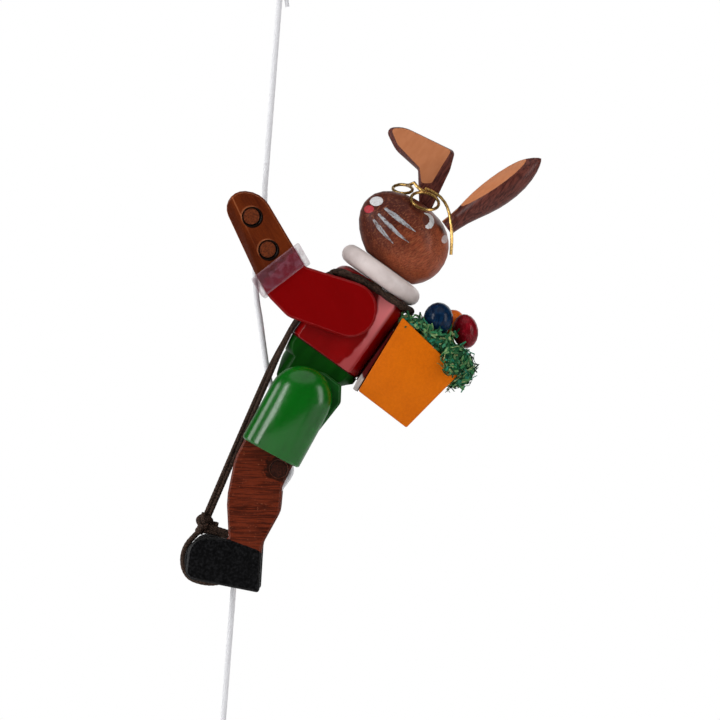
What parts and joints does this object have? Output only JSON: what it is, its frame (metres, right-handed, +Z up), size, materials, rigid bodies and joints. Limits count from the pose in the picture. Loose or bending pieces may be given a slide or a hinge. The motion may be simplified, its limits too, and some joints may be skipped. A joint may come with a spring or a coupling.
{
  "type": "climbing toy figure",
  "caption": "Wooden rabbit that climbs a string: turned and sawn body with a basket of eggs, jointed arms and legs, and an elastic that draws it together.",
  "frame": {"origin": "where the string's hang loop rests on its hook", "axes": "+Z up along the taut string, +X from the string towards the rabbit's back, +Y to the rabbit's right side, away from the viewer of its left side"},
  "size_m": [0.0827, 0.034, 0.2048],
  "materials": {
    "jacket_red": "gloss lacquer, worn at the edges",
    "trouser_green": "gloss lacquer",
    "fur_brown": "gloss brown stain, mottled",
    "leg_brown": "satin red-brown stain with cross grain, shoes painted black",
    "shoe_black": "black satin paint",
    "collar_white": "gloss white paint",
    "bare_wood": "plain turned dowel",
    "basket_orange": "orange stain, faint grain",
    "spacer_grey": "pale and bare",
    "egg_blue": "gloss paint",
    "egg_red": "gloss paint",
    "egg_orange": "gloss paint",
    "grass_green": "dyed fine shavings",
    "wire_brass": "bright drawn wire",
    "band_frosted": "clear, scuffed",
    "string_white": "smooth braided string",
    "elastic_brown": "covered elastic cord, twisted"
  },
  "bodies": {
    "string": {"hang_loop": "string_white", "string_knot_top": "string_white", "string_upper": "string_white"},
    "arms": {"arm_left": "jacket_red", "arm_right": "jacket_red", "hand_pin_upper": "fur_brown", "hand_pin_lower": "fur_brown", "wrist_band": "band_frosted", "shoulder_axle": "bare_wood", "string_hand": "string_white"},
    "torso": {"jacket": "jacket_red", "hip_block": "trouser_green", "collar": "collar_white", "neck_dowel": "bare_wood", "head": "fur_brown", "ear_left": "fur_brown", "ear_right": "fur_brown", "spectacles": "wire_brass", "spectacles_temple": "wire_brass", "basket": "basket_orange", "basket_spacer": "spacer_grey", "egg_blue": "egg_blue", "egg_red": "egg_red", "egg_orange": "egg_orange", "grass": "grass_green", "elastic_neck": "elastic_brown", "elastic_strand_left": "elastic_brown", "elastic_strand_right": "elastic_brown", "string_middle_upper": "string_white"},
    "legs": {"leg_left": "leg_brown", "leg_right": "leg_brown", "shorts_left": "trouser_green", "shorts_right": "trouser_green", "hip_axle": "bare_wood", "knee_pin": "leg_brown", "toe_block": "shoe_black", "elastic_knot": "elastic_brown", "elastic_toe_loop": "elastic_brown", "string_leg": "string_white", "string_middle_lower": "string_white"},
    "foot_pin": {"foot_pin": "bare_wood"},
    "string_end": {"string_lower": "string_white", "string_knot_bottom": "string_white"}
  },
  "joints": [
    {"name": "climb", "type": "slide", "parent": "string", "child": "arms", "axis": [0, 0, 1], "range_m": [-0.01, 0.04], "deforming": ["string_upper"]},
    {"name": "shoulder", "type": "hinge", "parent": "arms", "child": "torso", "pos_m": [0.0238, 0, -0.0909], "axis": [0, 1, 0], "range_deg": [-20, 5], "deforming": ["string_middle_upper", "elastic_neck"]},
    {"name": "hip", "type": "hinge", "parent": "torso", "child": "legs", "pos_m": [0.0132, 0, -0.1138], "axis": [0, 1, 0], "range_deg": [-8, 31.2], "deforming": ["string_middle_lower", "elastic_strand_left", "elastic_strand_right"]},
    {"name": "foot_turn", "type": "hinge", "parent": "legs", "child": "foot_pin", "pos_m": [0.00305, 0, -0.1589], "axis": [0, 1, 0], "range_deg": [-11.2, 3]},
    {"name": "string_feed", "type": "slide", "parent": "foot_pin", "child": "string_end", "axis": [0, 0, 1], "range_m": [-0.04, 0.01], "deforming": ["string_lower"]}
  ],
  "couplings": [
    {"joint": "hip", "follows": "shoulder", "ratio": -1.545},
    {"joint": "foot_turn", "follows": "shoulder", "ratio": 0.545},
    {"joint": "string_feed", "follows": "climb", "ratio": -1}
  ]
}
